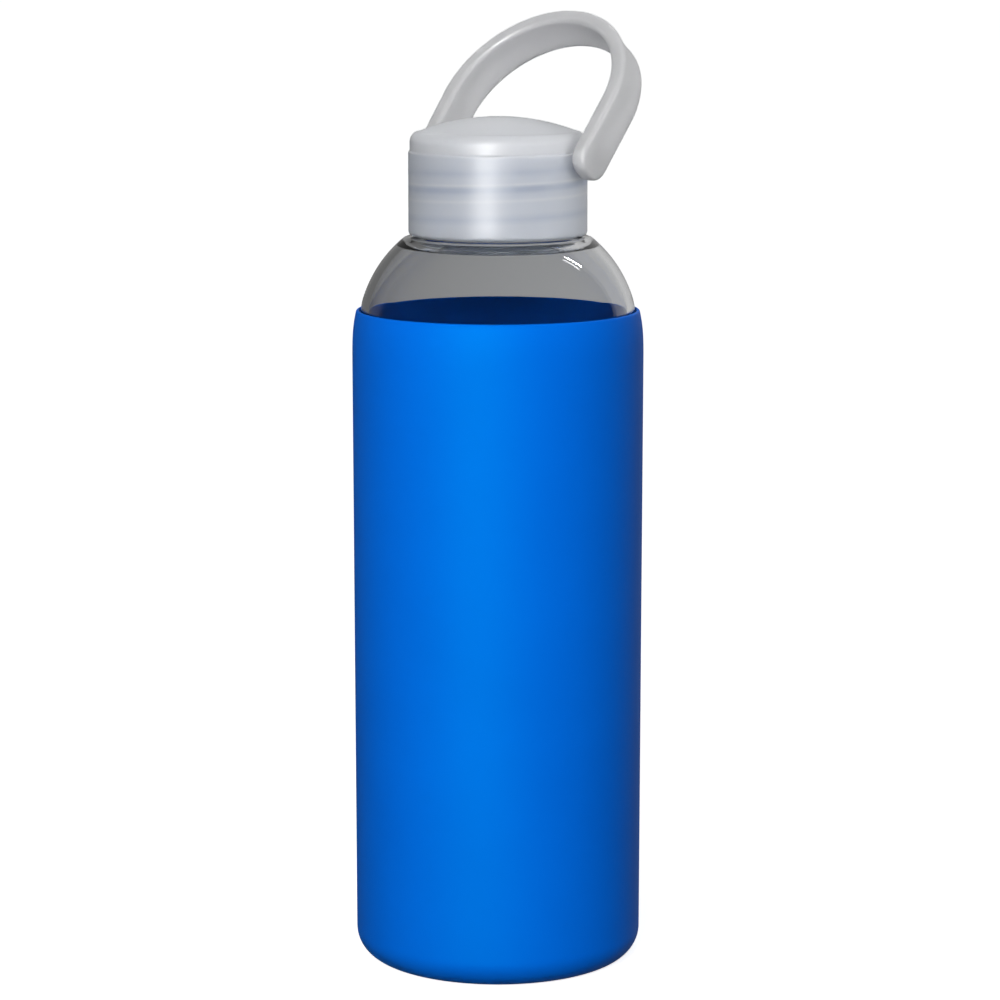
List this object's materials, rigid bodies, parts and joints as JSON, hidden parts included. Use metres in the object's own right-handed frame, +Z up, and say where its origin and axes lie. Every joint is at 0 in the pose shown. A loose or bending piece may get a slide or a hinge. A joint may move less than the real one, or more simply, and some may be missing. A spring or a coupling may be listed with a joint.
{
  "type": "glass water bottle",
  "caption": "Slim clear glass bottle in a full-length blue silicone sleeve, with a frosted screw lid and a swinging flat-band carry loop.",
  "frame": {"origin": "centre of the sleeve's flat underside, on the bottle's axis", "axes": "+Z up along the bottle's axis, -Y towards the viewer"},
  "size_m": [0.07, 0.0705, 0.2297],
  "materials": {
    "silicone_blue": "soft matte silicone",
    "clear_glass": "clear polished soda-lime glass",
    "frosted_lid": "frosted translucent polypropylene",
    "seal_silicone": "milky silicone",
    "frosted_loop": "frosted translucent polypropylene"
  },
  "bodies": {
    "bottle": {"silicone_sleeve": "silicone_blue", "glass_bottle": "clear_glass"},
    "lid_slider": {"lid_gasket": "seal_silicone"},
    "lid": {"lid_cap": "frosted_lid"},
    "loop": {"carry_loop": "frosted_loop"}
  },
  "joints": [
    {"name": "lid_lift", "type": "slide", "parent": "bottle", "child": "lid_slider", "axis": [0, 0, 1], "range_m": [0, 0.0226]},
    {"name": "lid_turn", "type": "hinge", "parent": "lid_slider", "child": "lid", "pos_m": [0, 0, 0.1971], "axis": [0, 0, 1], "range_deg": [0, 2160]},
    {"name": "loop_swing", "type": "hinge", "parent": "lid", "child": "loop", "pos_m": [0.00342, 0.0043, 0.1962], "axis": [-0.7826, 0.6225, 0], "range_deg": [-155, 77]}
  ],
  "couplings": [
    {"joint": "lid_lift", "follows": "lid_turn", "m_per_rad": 0.00059683}
  ]
}
